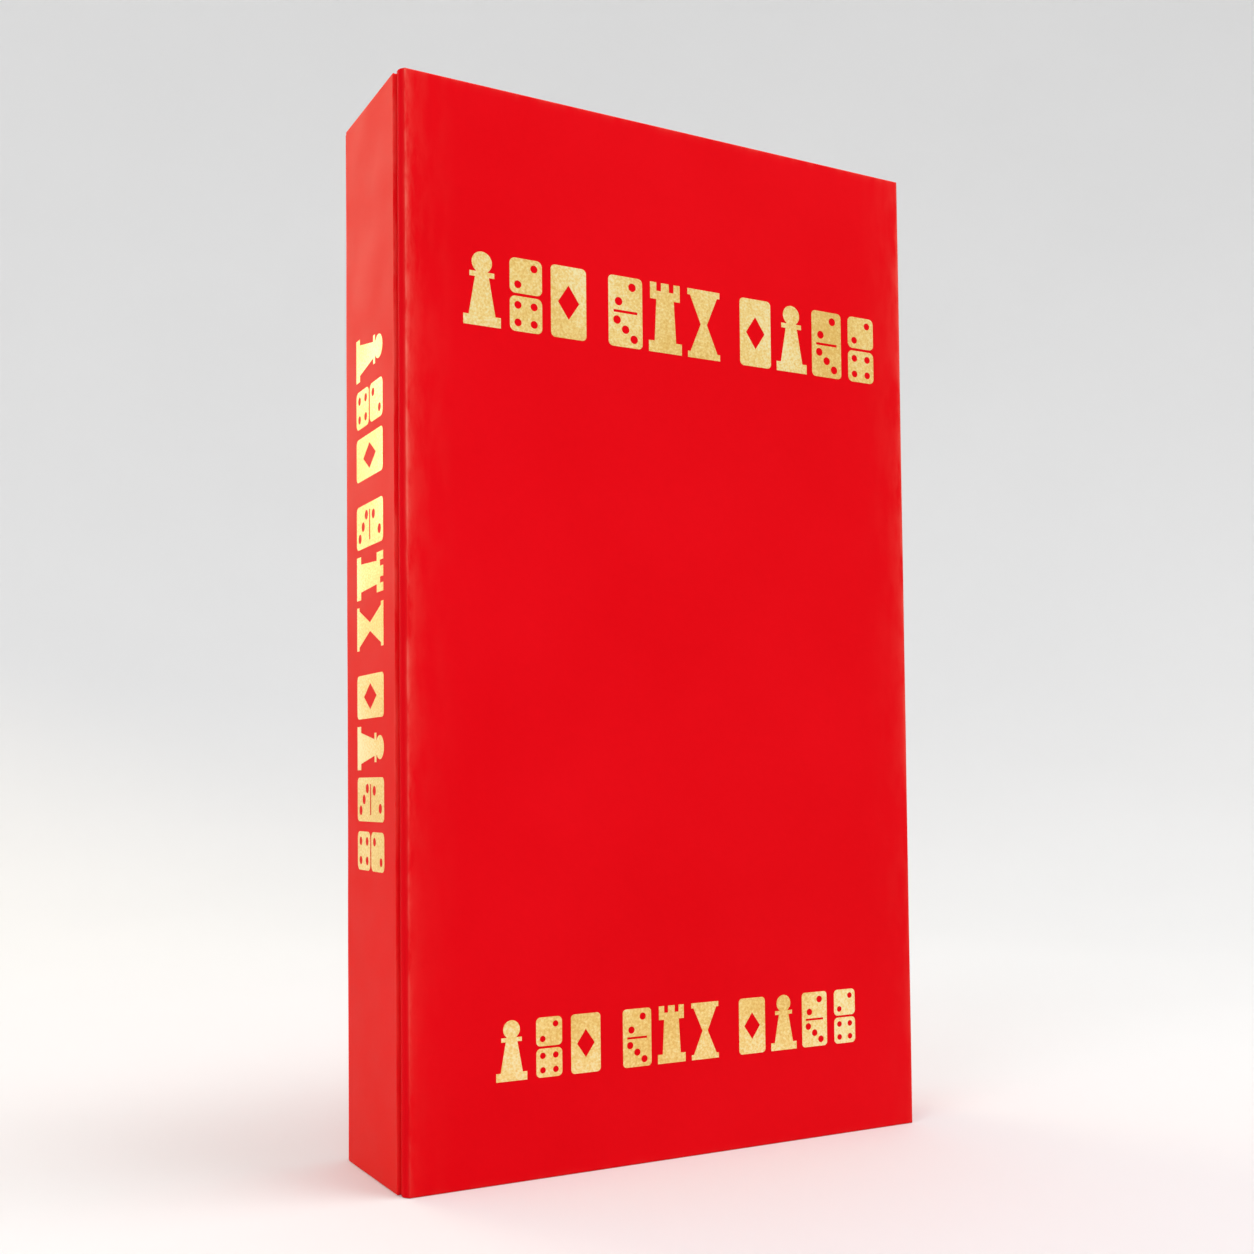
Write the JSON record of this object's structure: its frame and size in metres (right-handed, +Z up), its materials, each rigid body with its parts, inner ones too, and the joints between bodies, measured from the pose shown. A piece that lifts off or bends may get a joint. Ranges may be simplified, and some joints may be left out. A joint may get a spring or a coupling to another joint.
{
  "type": "board game box",
  "caption": "Rigid book-style board game box standing on end: wrapped greyboard case with hinged cover, magnetic side flap, lined tray and a card insert with wells.",
  "frame": {"origin": "centre of the end it stands on, at floor level", "axes": "+Z up along the box's length, -Y out of the front cover, -X out of the spine"},
  "size_m": [0.227, 0.0661, 0.4],
  "materials": {
    "red_wrap": "satin laminated",
    "gold_foil": "hot-stamped metallised film",
    "greyboard": "matt",
    "lining_paper": "matt uncoated",
    "tape": "gummed kraft",
    "insert_card": "matt black card",
    "magnet": "nickel plated",
    "keeper_steel": "plain steel disc"
  },
  "bodies": {
    "tray_and_back": {"spine_wrap": "red_wrap", "spine_board": "greyboard", "foil_spine": "gold_foil", "back_hinge_web": "red_wrap", "back_wrap": "red_wrap", "back_board": "greyboard", "tray_base_board": "greyboard", "tray_spine_wall_board": "greyboard", "tray_flap_wall_board": "greyboard", "tray_bottom_wall_board": "greyboard", "tray_top_wall_board": "greyboard", "tape_spine_bottom": "tape", "tape_spine_top": "tape", "tape_flap_top": "tape", "tape_flap_bottom": "tape", "tray_wrap": "red_wrap", "tray_floor_lining": "lining_paper", "keeper_discs": "keeper_steel", "insert_deck": "insert_card", "wide_well_bottom": "insert_card", "card_well_spine_side": "insert_card", "card_well_flap_side": "insert_card", "wide_well_top": "insert_card"},
    "front_cover": {"front_wrap": "red_wrap", "front_board": "greyboard", "front_lining": "lining_paper", "cover_hinge_web": "red_wrap", "foil_cover_upper": "gold_foil", "foil_cover_lower": "gold_foil"},
    "side_flap": {"flap_wrap": "red_wrap", "flap_board": "greyboard", "flap_lining": "lining_paper", "flap_magnets": "magnet", "flap_hinge_web": "red_wrap"}
  },
  "joints": [
    {"name": "cover_hinge", "type": "hinge", "parent": "tray_and_back", "child": "front_cover", "pos_m": [-0.1135, -0.0272, 0.2], "axis": [0, 0, -1], "range_deg": [0, 180]},
    {"name": "flap_hinge", "type": "hinge", "parent": "front_cover", "child": "side_flap", "pos_m": [0.11251, -0.03201, 0.2], "axis": [0, 0, -1], "range_deg": [0, 90], "deforming": ["flap_hinge_web"]}
  ]
}
